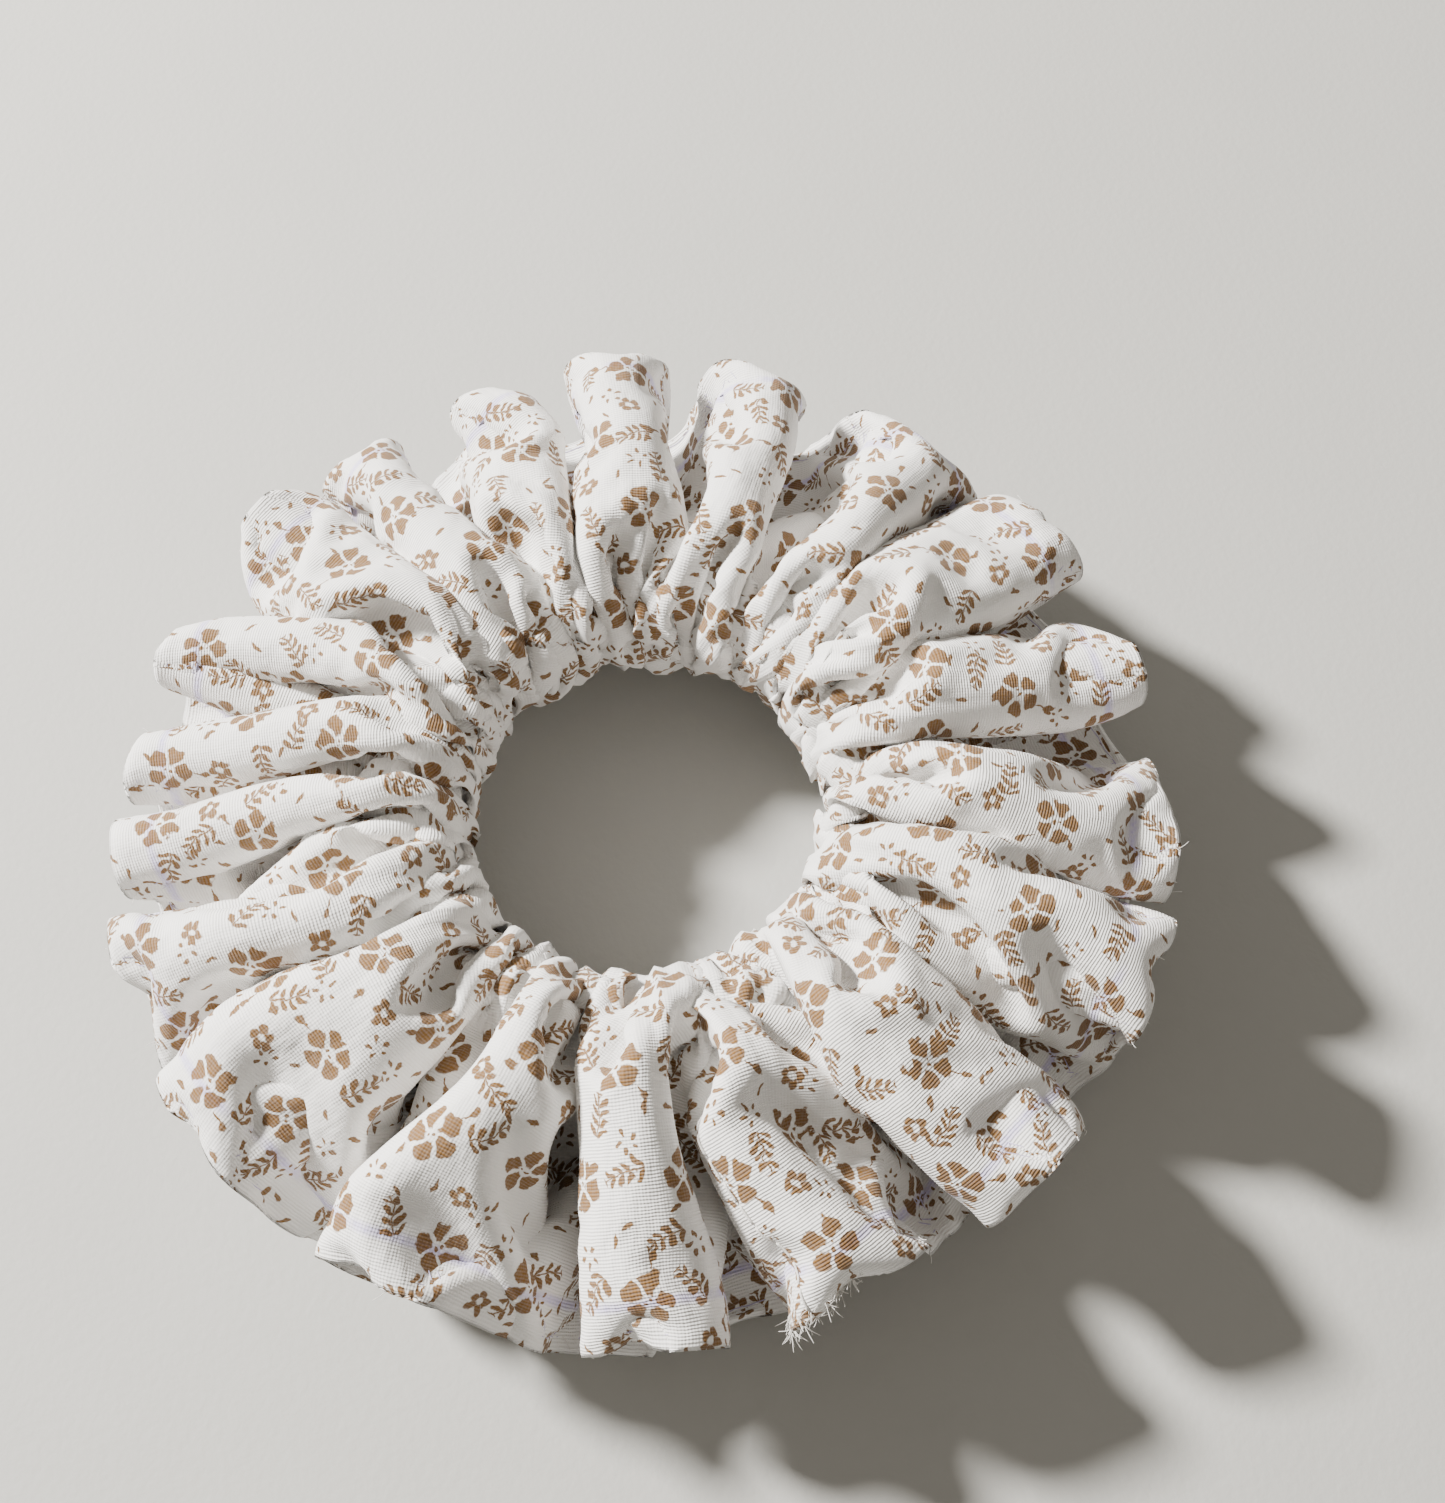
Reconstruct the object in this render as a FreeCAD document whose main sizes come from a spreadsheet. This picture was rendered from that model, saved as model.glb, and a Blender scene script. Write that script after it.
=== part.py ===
"""Gathered hair scrunchie: a printed cotton tube, sewn along its outer edge, closed on itself round a
lapped elastic, with the sewing threads of its three seams.

Millimetres. The ring lies flat: +Z is up along the axis of the hole, the origin is under the centre of
the hole on the surface that the ring lies on, and the closing seam is on the +X side.
"""

import FreeCAD, Part
import math
import os

Vector = FreeCAD.Vector

# Driving dimensions: alias, value, meaning.
DIMENSIONS = [
    ("hole_radius", 20.0, "radius of the relaxed hole, to the inner folds"),
    ("outer_radius", 60.0, "radius to the outer creases"),
    ("ring_height", 38.0, "height of the ring lying flat, to the crowns of the pleats"),
    ("lobe_pairs", 19, "pleats that rise, with one that drops between each two"),
    ("inner_fold", 3.0, "depth of the gathers round the hole"),
    ("bead_half", 6.5, "half height of the tube where it wraps the elastic"),
    ("shoulder_width", 5.0, "width of the rounded wrap beside the hole"),
    ("crown_half", 9.5, "half height of the tube at its fullest"),
    ("crown_share", 0.45, "where the tube is fullest, as a share of its depth"),
    ("flank_half", 5.5, "half height of the tube near its outer crease"),
    ("flank_share", 0.82, "where the flank is, as a share of the depth"),
    ("crease_half", 1.6, "half height of the pressed outer crease"),
    ("cloth_wall", 0.6, "wall that stands for one gathered layer of cloth"),
    ("seam_allowance", 6.0, "cloth beyond the side seam, turned inside"),
    ("allowance_half", 0.4, "half the thickness of the two layers of the allowance"),
    ("seam_inset", 2.5, "side seam's needle line, in from the crease"),
    ("looper_inset", 4.5, "looper threads' line, in from the crease"),
    ("elastic_radius", 27.5, "radius of the elastic's mid line"),
    ("elastic_width", 6.0, "width of the braided elastic"),
    ("elastic_thick", 0.9, "thickness of the braided elastic"),
    ("lap_angle", 26.0, "angle over which the elastic's two ends overlap, in degrees"),
    ("step_overlap", 0.4, "how far that step runs into the band at each end"),
    ("step_angle", 14.0, "angle over which one end steps under the other, in degrees"),
    ("thread_radius", 0.2, "radius of the sewing thread"),
    ("bite_count", 8, "zigzag stitches across the lap"),
    ("bite_width", 4.4, "width of the zigzag"),
    ("thread_gap", 0.1, "clearance between a thread and the elastic that it lies on"),
    ("seam_gap", 0.45, "clearance between the side seam's threads and the pleated allowance"),
    ("valley_rise", 0.9, "height of a thread that lies in the fold between two pleats"),
]


def make_sheet(doc):
    """The spreadsheet of driving dimensions."""
    sheet = doc.addObject("Spreadsheet::Sheet", "Dimensions")
    for row, (alias, value, meaning) in enumerate(DIMENSIONS, start=1):
        sheet.set(f"A{row}", alias)
        sheet.set(f"B{row}", str(value))
        sheet.set(f"C{row}", meaning)
        sheet.setAlias(f"B{row}", alias)
    doc.recompute()
    return sheet


class Sizes:
    """The sheet's values, and what follows from them."""

    def __init__(self, sheet):
        for alias, _, _ in DIMENSIONS:
            setattr(self, alias, float(sheet.get(alias)))
        self.mid_height = self.ring_height / 2
        self.depth = self.outer_radius - self.hole_radius
        self.section_count = 2 * int(self.lobe_pairs)
        self.lift_start = self.elastic_radius + self.elastic_thick
        lifted = [(r, half) for r, half in tube_section(self, True) if self.rise_share(r) > 0]
        self.lobe_lift = min((self.mid_height - half) / self.rise_share(r) for r, half in lifted)

    def rise_share(self, radius):
        """How much of the pleats' full rise or drop there is at this radius: none at the elastic."""
        share = (radius - self.lift_start) / (self.outer_radius - self.lift_start)
        return math.sin(0.5 * math.pi * max(0.0, min(1.0, share)))


def tube_section(sizes, rising, inset=0.0):
    """The corners (radius, height) of the tube's section: the top from the hole out, then the bottom back.

    rising is True where the pleat rises and False where it drops, and inset shrinks the section to the
    inside of the cloth.
    """
    hole = sizes.hole_radius + (0.0 if rising else sizes.inner_fold)
    top = [
        (hole + inset, sizes.bead_half - 2 - inset),
        (hole + sizes.shoulder_width, sizes.bead_half + 0.5 - inset),
        (sizes.hole_radius + sizes.crown_share * sizes.depth, sizes.crown_half - inset),
        (sizes.hole_radius + sizes.flank_share * sizes.depth, sizes.flank_half - inset),
        (sizes.outer_radius - 1.5 * inset, sizes.crease_half - 0.8 * inset),
    ]
    return [(r, half) for r, half in top] + [(r, -half) for r, half in reversed(top)]


def cavity_section(sizes, rising):
    """The inside of the cloth, cut into by the seam allowance that stands in from the outer crease."""
    corners = tube_section(sizes, rising, sizes.cloth_wall)
    half_count = len(corners) // 2
    crease = corners[half_count - 1][0]
    raw_edge = crease - sizes.seam_allowance
    allowance = [
        (crease, sizes.allowance_half),
        (raw_edge, sizes.allowance_half),
        (raw_edge, -sizes.allowance_half),
        (crease, -sizes.allowance_half),
    ]
    return corners[:half_count] + allowance + corners[half_count:]


def thread_section(sizes, radius, height):
    """A six-sided section of thread that follows the pleats at this radius and height off the middle."""
    corners = 6
    return [
        (
            radius + sizes.thread_radius * math.cos(2 * math.pi * k / corners),
            height + sizes.thread_radius * math.sin(2 * math.pi * k / corners),
        )
        for k in range(corners)
    ]


def placed(sizes, corner, rising, angle):
    """The point of a section's corner at an angle round the ring, in a rising or dropping pleat."""
    radius, height = corner
    sign = 1 if rising else -1
    z = sizes.mid_height + height + sign * sizes.lobe_lift * sizes.rise_share(radius)
    return Vector(radius * math.cos(angle), radius * math.sin(angle), z)


def triangle(a, b, c):
    """A flat face on three corners."""
    return Part.Face(Part.makePolygon([a, b, c, a]))


def pleated_ring(sizes, section_of):
    """A closed ring through sections that rise and drop by turns, section_of(rising) giving the corners.

    Each two neighbouring sections are joined by flat triangles, whose fold is the same in every pleat.
    """
    rows = []
    for k in range(sizes.section_count):
        rising = k % 2 == 0
        angle = 2 * math.pi * k / sizes.section_count
        rows.append([placed(sizes, corner, rising, angle) for corner in section_of(rising)])
    faces = []
    for k, here in enumerate(rows):
        there = rows[(k + 1) % len(rows)]
        if k % 2:
            here, there = there, here
        for a, b, c, d in zip(here, here[1:] + here[:1], there[1:] + there[:1], there):
            faces.append(triangle(a, b, c))
            faces.append(triangle(a, c, d))
    shell = Part.makeShell(faces)
    shell.sewShape()
    solid = Part.makeSolid(shell)
    if solid.Volume < 0:
        solid.reverse()
    return solid


def strand(points, radius):
    """A thread along straight runs between points, round at its corners and its ends."""
    pieces = [Part.makeSphere(radius, point) for point in points]
    for start, end in zip(points, points[1:]):
        run = end - start
        pieces.append(Part.makeCylinder(radius, run.Length, start, run))
    return pieces[0].multiFuse(pieces[1:]).removeSplitter()


def add_feature(doc, label, shape):
    """A document object that holds a shape made in this file."""
    feature = doc.addObject("Part::Feature", label)
    feature.Label = label
    feature.Shape = shape
    feature.Placement = FreeCAD.Placement()
    return feature


def make_cover(doc, sizes):
    """The cotton tube: pleated outside, hollow inside, with its seam allowance turned in."""
    outside = pleated_ring(sizes, lambda rising: tube_section(sizes, rising))
    inside = pleated_ring(sizes, lambda rising: cavity_section(sizes, rising))
    return add_feature(doc, "fabric_cover", outside.cut(inside))


def make_side_seam(doc, sizes):
    """The three threads of the overlocked side seam, each a closed ring that follows the pleats."""
    above = sizes.allowance_half + sizes.thread_radius + sizes.seam_gap
    crease = sizes.outer_radius - 1.5 * sizes.cloth_wall
    lines = {
        "side_seam_needle_thread": (crease - sizes.seam_inset, above),
        "side_seam_upper_looper_thread": (crease - sizes.looper_inset, above),
        "side_seam_lower_looper_thread": (crease - sizes.looper_inset, -above),
    }
    made = []
    for label, (radius, height) in lines.items():
        section = thread_section(sizes, radius, height)
        made.append(add_feature(doc, label, pleated_ring(sizes, lambda rising: section)))
    return made


def make_closing_seam(doc, sizes):
    """The needle and bobbin threads of the seam that joins the tube's two ends, above and below it."""
    corners = tube_section(sizes, True)
    half_count = len(corners) // 2
    made = []
    for label, line, off in (
        ("closing_seam_needle_thread", corners[:half_count], sizes.thread_radius + 0.1),
        ("closing_seam_bobbin_thread", corners[half_count:], -sizes.valley_rise - sizes.thread_radius),
    ):
        runs = [(r, height + off) for r, height in line]
        points = [placed(sizes, corner, True, 0.0) for corner in runs]
        made.append(add_feature(doc, label, strand(points, sizes.thread_radius)))
    return made


def bound(feature, **expressions):
    """Binds a feature's properties to expressions in the sheet."""
    for name, expression in expressions.items():
        feature.setExpression(name.replace("__", "."), expression)
    return feature


def band_sector(doc, name, radius, angle, start):
    """A stretch of the elastic as a sector of a tube: expressions for its mid radius, angle and start."""
    width, thick = "Dimensions.elastic_width", "Dimensions.elastic_thick"
    base = "Dimensions.ring_height / 2 - Dimensions.elastic_width / 2"
    outer = bound(
        doc.addObject("Part::Cylinder", name + "_outer"),
        Radius=f"{radius} + {thick} / 2",
        Height=width,
        Angle=angle,
    )
    inner = bound(
        doc.addObject("Part::Cylinder", name + "_inner"),
        Radius=f"{radius} - {thick} / 2",
        Height=width,
    )
    sector = doc.addObject("Part::Cut", name)
    sector.Base, sector.Tool = outer, inner
    sector.Placement.Rotation = FreeCAD.Rotation(Vector(0, 0, 1), 0)
    bound(sector, Placement__Base__z=base, Placement__Rotation__Angle=start)
    return sector


def make_elastic(doc):
    """The flat elastic: once round on edge, then a step inwards and a lap inside its own first end."""
    radius = "Dimensions.elastic_radius"
    under = f"({radius} - Dimensions.elastic_thick - Dimensions.thread_gap)"
    half_lap = "Dimensions.lap_angle / 2"
    loop = band_sector(doc, "ElasticLoop", radius, "360 - Dimensions.step_angle", f"-{half_lap}")
    lap = band_sector(doc, "ElasticLap", under, "Dimensions.lap_angle", f"-{half_lap}")

    # The step is a flat stretch from the loop's last end to the lap's first, a little into both.
    into = "Dimensions.step_overlap"
    half_thick = "Dimensions.elastic_thick / 2"
    far_angle = f"({half_lap} + Dimensions.step_angle)"
    run_x = f"({under} * cos({half_lap}) - {radius} * cos{far_angle})"
    run_y = f"({radius} * sin{far_angle} - {under} * sin({half_lap}))"
    turn = f"atan2({run_y}; {run_x})"
    step = bound(
        doc.addObject("Part::Box", "ElasticStep"),
        Length=f"hypot({run_x}; {run_y}) + 2 * {into}",
        Width="Dimensions.elastic_thick",
        Height="Dimensions.elastic_width",
    )
    step.Placement.Rotation = FreeCAD.Rotation(Vector(0, 0, 1), 0)
    bound(
        step,
        Placement__Rotation__Angle=turn,
        Placement__Base__x=f"{radius} * cos{far_angle} - {into} * cos({turn}) + {half_thick} * sin({turn})",
        Placement__Base__y=f"-{radius} * sin{far_angle} - {into} * sin({turn}) - {half_thick} * cos({turn})",
        Placement__Base__z="Dimensions.ring_height / 2 - Dimensions.elastic_width / 2",
    )
    band = doc.addObject("Part::MultiFuse", "ElasticBand")
    band.Shapes = [loop, lap, step]
    band.Label = "elastic_band"
    return band


def make_elastic_join(doc, sizes):
    """The needle and bobbin threads of the zigzag that sews the elastic's lap, outside and inside it."""
    off = sizes.thread_radius + sizes.thread_gap
    outside = sizes.elastic_radius + sizes.elastic_thick / 2 + off
    inside = sizes.elastic_radius - 1.5 * sizes.elastic_thick - sizes.thread_gap - off
    spread = math.radians(0.7 * sizes.lap_angle)
    count = int(sizes.bite_count)
    made = []
    for label, radius in (
        ("elastic_join_needle_thread", outside),
        ("elastic_join_bobbin_thread", inside),
    ):
        # A straight run between two points of a circle cuts inside it, so the outer line stands off.
        sagitta = radius * (1 - math.cos(spread / count / 2)) if radius > sizes.elastic_radius else 0.0
        points = []
        for k in range(count + 1):
            angle = spread * (k / count - 0.5)
            side = 0.5 if k % 2 else -0.5
            flat = Vector(math.cos(angle), math.sin(angle)) * (radius + sagitta)
            points.append(flat + Vector(0, 0, sizes.mid_height + side * sizes.bite_width))
        made.append(add_feature(doc, label, strand(points, sizes.thread_radius)))
    return made


def check_document(doc):
    """Stops if any object failed to compute."""
    for item in doc.Objects:
        if {"Invalid", "Error"} & set(item.State):
            raise RuntimeError(f"{item.Label} failed: {item.State}")


def export_parts(parts):
    """Writes each sub-part to parts/LABEL.step, once its shape is known to be sound."""
    os.makedirs("parts", exist_ok=True)
    for part in parts:
        shape = part.Shape
        if shape.isNull() or not shape.isValid() or not shape.Solids:
            raise RuntimeError(f"{part.Label} has no valid solid")
        print(f"{part.Label}: {len(shape.Solids)} solid, {shape.Volume:.1f} mm3, {len(shape.Faces)} faces")
        shape.exportStep(os.path.join("parts", part.Label + ".step"))


def main():
    doc = FreeCAD.newDocument("Scrunchie")
    sheet = make_sheet(doc)
    sizes = Sizes(sheet)
    parts = [make_cover(doc, sizes), make_elastic(doc)]
    parts += make_side_seam(doc, sizes)
    parts += make_closing_seam(doc, sizes)
    parts += make_elastic_join(doc, sizes)
    doc.recompute()
    check_document(doc)
    export_parts(parts)


main()
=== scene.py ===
"""Looks of a gathered cotton scrunchie: a printed cotton tube gathered on an elastic, lying on a table.

The cover is simulated as cloth, by position based dynamics on a grid. Columns run round the ring, and
rows run round the tube: row 0 is the side seam at the outer crease, and the middle row is at the hole.
The simulation counts in millimetres, and everything else in metres.
"""

import math

import bpy
import numpy as np
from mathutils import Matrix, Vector


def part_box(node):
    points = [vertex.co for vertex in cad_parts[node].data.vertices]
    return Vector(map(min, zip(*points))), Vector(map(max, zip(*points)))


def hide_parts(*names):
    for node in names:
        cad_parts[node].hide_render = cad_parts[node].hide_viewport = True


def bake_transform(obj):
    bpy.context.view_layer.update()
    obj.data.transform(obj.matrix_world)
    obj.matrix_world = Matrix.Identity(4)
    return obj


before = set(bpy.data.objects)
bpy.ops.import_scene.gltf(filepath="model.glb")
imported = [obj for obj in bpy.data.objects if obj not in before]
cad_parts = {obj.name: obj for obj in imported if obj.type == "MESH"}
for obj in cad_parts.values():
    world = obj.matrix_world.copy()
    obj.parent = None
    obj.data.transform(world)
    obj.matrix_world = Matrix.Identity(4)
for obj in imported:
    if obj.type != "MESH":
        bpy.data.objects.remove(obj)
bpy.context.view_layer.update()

MM = 0.001
REAL = np.float32

# Sizes that the CAD parts from model.glb give, in millimetres
COVER_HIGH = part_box("fabric_cover")[1] / MM
BAND_LOW, BAND_HIGH = (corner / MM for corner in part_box("elastic_band"))
OUTER_RADIUS = COVER_HIGH.x
MID_HEIGHT = (BAND_LOW.z + BAND_HIGH.z) / 2
BAND_WIDTH = BAND_HIGH.z - BAND_LOW.z
BAND_OUTSIDE = BAND_HIGH.x
BAND_THICK = 0.9
BAND_RADIUS = BAND_OUTSIDE - BAND_THICK / 2
HOLE_RADIUS = 20.0

# The elastic's lap and the step that leads into it, in degrees
BAND_LAP = 26.0
BAND_STEP = 14.0

# The cut strip, as a grid
COLUMNS, ROWS = 600, 72
HALF = ROWS // 2
TUBE_ROUND = 96.0
CUT_LENGTH = 1060.0
ALLOWANCE_ROWS = 4

# How the strip lies before it is relaxed. It starts short, and is let out to its cut length.
START_LENGTH = 900.0
# Middles of the pleats that rise, in degrees from the closing seam
PLEAT_ANGLES = [3, 24, 48, 69, 88, 106, 128, 145, 165, 182, 196, 214, 231, 242, 255, 269, 294, 320, 342]
# The steepest turn of a pleat's sides, in radians, and how far out from the hole it takes to get there
PLEAT_TURN = 1.75
PLEAT_REACH = 48.0
# How much broader the rising pleats are than the dropping ones, from 0 to 1
CREST_SHARE = 0.45
# Folds round the hole
GATHERS = 57
# How much further from the hole the far pleats reach, as a share
FAR_REACH = 0.12

# How the cloth behaves: the swell of its inner half, its stiffness along a pleat, and the small folds' lift
PUFF = 0.005
BEND_ACROSS = 0.3
FOLD_LIFT = 0.85

# The solver: what is left of the speed after a step, and the weight, lean and top speed in mm a step
SPEED_KEPT = 0.9
WEIGHT = 0.002
LEAN = 0.004
TOP_SPEED = 0.6
# Points nearer than this are looked at for contact, and the strength that keeps the cloth from shearing
NEAR = 1.5
SHEAR = 0.25
# Beside the pressed crease: rows from it, the gap there between the two layers, and how strongly it is kept
PRESSED = ((1, 0.8, 0.5), (2, 1.3, 0.3), (3, 2.0, 0.15))

# The camera, seen from above: degrees from the closing seam, and up from the table
VIEW_TURN = -21.0
VIEW_RISE = 65.0
VIEW_DISTANCE = 0.191
# Where it looks, in metres to the right of the ring's middle and beyond it
VIEW_RIGHT = 0.0091
VIEW_BEYOND = 0.0068


# ---------------------------------------------------------------- cloth: the shape to start from


def smooth(values, window):
    """Values round the ring, with everything finer than about the window taken out."""
    count = len(values)
    rate = np.fft.rfftfreq(count)
    keep = np.exp(-0.5 * (rate * window * np.pi * 0.8) ** 2)
    spectrum = np.fft.rfft(values, axis=0)
    return np.fft.irfft(spectrum * keep.reshape(-1, *[1] * (values.ndim - 1)), count, axis=0)


def half_section():
    """Radius, height off the middle and outward normal of the tube's upper half, crease to hole."""
    knots = np.array([
        (OUTER_RADIUS - 1, 0.0), (57.5, 0.9), (55.0, 1.9), (50.0, 3.3), (44.0, 4.6), (38.0, 5.7),
        (32.0, 6.6), (28.0, 6.9), (25.0, 6.4), (23.0, 5.0), (22.1, 2.8), (22.0, 0.0),
    ])
    reach = np.r_[0, np.cumsum(np.hypot(*np.diff(knots, axis=0).T))]
    fine = np.linspace(0, reach[-1], 400)
    window = np.ones(31) / 31
    rounded = []
    for line in knots.T:
        values = np.interp(fine, reach, line)
        values = np.r_[2 * values[0] - values[15:0:-1], values, 2 * values[-1] - values[-2:-17:-1]]
        rounded.append(np.convolve(values, window, "valid"))
    radius, height = rounded
    reach = np.r_[0, np.cumsum(np.hypot(np.diff(radius), np.diff(height)))]
    at = np.linspace(0, reach[-1], HALF + 1)
    radius, height = np.interp(at, reach, radius), np.interp(at, reach, height)
    height[[0, -1]] = 0
    along_r, along_z = np.gradient(radius), np.gradient(height)
    length = np.hypot(along_r, along_z)
    return radius, height, along_z / length, -along_r / length


def wander(draws, size):
    """A smooth random line round the ring, of a given spread."""
    line = smooth(draws.standard_normal(COLUMNS), 14)
    return size * line / line.std()


def row_tangent(pleat, gather, normal_r, normal_z):
    """Unit direction of a row, along the ring, up and out, from the angles that its waves turn it by."""
    up_turn = pleat + normal_z * gather
    out_turn = normal_r * gather
    flat = np.cos(out_turn)
    return np.cos(up_turn) * flat, np.sin(up_turn) * flat, np.sin(out_turn)


def largest(low, high, holds):
    """The largest value for which holds is true, by halving."""
    for _ in range(30):
        middle = (low + high) / 2
        low, high = (middle, high) if holds(middle) else (low, middle)
    return low


def ruffled_start():
    """The tube gathered into waves that keep every row at its starting length.

    Each row is a meander whose direction swings as a sine. Pleats rise and drop in step through the whole
    tube. Finer gathers swing off its surface, most at the hole, until the row is short enough.
    """
    draws = np.random.default_rng(4)
    first_radius, steepest_gather = 23, 2.35
    share = (np.arange(COLUMNS) + 0.5) / COLUMNS
    turns = np.array(PLEAT_ANGLES) / 360
    count = len(turns)
    phase = np.interp(share, np.r_[turns[-1] - 1, turns, turns[0] + 1], np.r_[-1, np.arange(count), count])
    phase = smooth(phase - share * count, 8) + share * count
    pleat_wave = -np.sin(2 * np.pi * phase - CREST_SHARE * np.sin(2 * np.pi * phase))
    gather_waves = [
        np.sin(2 * np.pi * GATHERS * share + wander(draws, 0.9)),
        np.sin(2 * np.pi * GATHERS * share + wander(draws, 0.9) + 1.0),
    ]
    radius, height, normal_r, normal_z = half_section()
    spacing = START_LENGTH / COLUMNS
    cloth = np.zeros((COLUMNS, ROWS, 3))
    for row in range(ROWS):
        k = min(row, ROWS - row)
        side = 1 if row <= HALF else -1
        gather_wave = gather_waves[0] if row <= HALF else gather_waves[1]
        wanted = 2 * np.pi * radius[k] / START_LENGTH
        outwards = min(1.0, max(0.0, (radius[k] - first_radius) / PLEAT_REACH))
        pleat = PLEAT_TURN * math.sin(0.5 * math.pi * outwards)

        def tangent(pleat, gather):
            return row_tangent(pleat * pleat_wave, gather * gather_wave, normal_r[k], side * normal_z[k])

        pleat = largest(0, pleat, lambda turn: tangent(turn, 0)[0].mean() > wanted)
        gather = largest(0, steepest_gather, lambda turn: tangent(pleat, turn)[0].mean() > wanted)
        ahead, up, out = tangent(pleat, gather)
        drift = np.cumsum(ahead) * spacing / radius[k] - 2 * np.pi * share
        angle = 2 * np.pi * share + drift - smooth(drift, 40)
        rise = np.cumsum(up - up.mean()) * spacing
        swell = np.cumsum(out - out.mean()) * spacing
        reach = radius[k] + swell - smooth(swell, 60)
        far = 0.5 + 0.5 * np.cos(angle - math.radians(VIEW_TURN + 180))
        reach = reach + FAR_REACH * far * (reach - HOLE_RADIUS)
        cloth[:, row, 0] = reach * np.cos(angle)
        cloth[:, row, 1] = reach * np.sin(angle)
        cloth[:, row, 2] = MID_HEIGHT + side * height[k] + rise - smooth(rise, 60)
    return np.ascontiguousarray(cloth, REAL)


# ---------------------------------------------------------------- cloth: relaxing it


def settle(a, b, rest, strength, least, most):
    """Moves pairs of points towards their rest length, if they are off it by between least and most."""
    gap = b - a
    length = np.sqrt(np.einsum("...i,...i->...", gap, gap)) + REAL(1e-9)
    gap *= (REAL(0.5) * strength * np.clip(length - rest, least, most) / length)[..., None]
    a += gap
    b -= gap


def pull(a, b, rest, strength):
    """Keeps pairs of points at their rest length."""
    settle(a, b, rest, strength, -np.inf, np.inf)


def spread(a, b, rest, strength):
    """Pushes pairs of points out to their rest length, which keeps the cloth from folding sharply."""
    settle(a, b, rest, strength, -np.inf, 0)


def press(a, b, rest, strength):
    """Draws pairs of points in to their rest length, as where the cloth is pressed flat."""
    settle(a, b, rest, strength, 0, np.inf)


def along_ring(cloth, step, act, rest, strength):
    """Acts on each point and the one that many columns on, in two sets that share no point."""
    for shift in (0, step):
        turned = np.roll(cloth, -shift, 0) if shift else cloth
        sets = turned.reshape(COLUMNS // (2 * step), 2, step, ROWS, 3)
        act(sets[:, 0], sets[:, 1], rest, strength)
        if shift:
            cloth[:] = np.roll(turned, shift, 0)


def round_tube(cloth, step, act, rest, strength):
    """Acts on each point and the one that many rows on, in two sets that share no point.

    Only neighbours are joined over the crease, so that it can fold sharply.
    """
    for shift in (0, step):
        turned = np.roll(cloth, -shift, 1) if shift else cloth
        sets = turned.reshape(COLUMNS, ROWS // (2 * step), 2, step, 3)
        if shift > 1:
            sets = sets[:, :-1]
        act(sets[:, :, 0], sets[:, :, 1], rest, strength)
        if shift:
            cloth[:] = np.roll(turned, shift, 1)


def across_cells(cloth, rest, strength):
    """Keeps both diagonals of every cell, which stops the cloth from shearing."""
    for shift in (0, 1):
        turned = np.roll(cloth, -shift, 0) if shift else cloth
        sets = turned.reshape(COLUMNS // 2, 2, ROWS, 3)
        a, b = sets[:, 0], sets[:, 1]
        pull(a[:, :-1], b[:, 1:], rest, strength)
        pull(a[:, -1], b[:, 0], rest, strength)
        pull(a[:, 1:], b[:, :-1], rest, strength)
        pull(a[:, 0], b[:, -1], rest, strength)
        if shift:
            cloth[:] = np.roll(turned, shift, 0)


def close_pairs(cloth, reach):
    """Pairs of points nearer than reach that aren't neighbours in the weave, found cell by cell."""
    points = cloth.reshape(-1, 3)
    grid = np.floor((points - points.min(0)) / reach).astype(np.int64) + 2
    size = grid.max(0) + 3
    cell = (grid[:, 0] * size[1] + grid[:, 1]) * size[2] + grid[:, 2]
    order = np.argsort(cell, kind="stable")
    cell, points = cell[order], points[order]
    begins = np.searchsorted(cell, np.arange(int(size.prod()) + 1))
    index = np.arange(len(points))
    found = []
    for beside in (0, 1, size[1] - 1, size[1], size[1] + 1):
        other = cell + beside * size[2]
        low = index + 1 if beside == 0 else begins[other - 1]
        counts = np.maximum(begins[other + 2] - low, 0)
        a = np.repeat(index, counts)
        b = np.arange(len(a)) - np.repeat(np.cumsum(counts) - counts, counts) + np.repeat(low, counts)
        gap = points[a] - points[b]
        near = np.einsum("ij,ij->i", gap, gap) < reach * reach
        found.append(np.stack([order[a[near]], order[b[near]]]))
    a, b = np.concatenate(found, 1)
    columns = np.abs(a // ROWS - b // ROWS)
    rows = np.abs(a % ROWS - b % ROWS)
    apart = (np.minimum(columns, COLUMNS - columns) > 1) | (np.minimum(rows, ROWS - rows) > 2)
    return a[apart], b[apart]


def keep_apart(cloth, pairs, thickness):
    """Pushes apart the pairs of points that are nearer than the cloth is thick."""
    points = cloth.reshape(-1, 3)
    a, b = pairs
    gap = points[a] - points[b]
    square = np.einsum("ij,ij->i", gap, gap)
    least = np.minimum(thickness[a], thickness[b])
    hit = square < least * least
    a, b, gap, least = a[hit], b[hit], gap[hit], least[hit]
    length = np.sqrt(square[hit]) + REAL(1e-6)
    gap *= (REAL(0.45) * (least - length) / length)[:, None]
    count = len(points)
    shared = np.maximum(1, 0.5 * (np.bincount(a, minlength=count) + np.bincount(b, minlength=count)))
    for axis in range(3):
        move = np.bincount(a, gap[:, axis], count) - np.bincount(b, gap[:, axis], count)
        points[:, axis] += (move / shared).astype(REAL)


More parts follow.
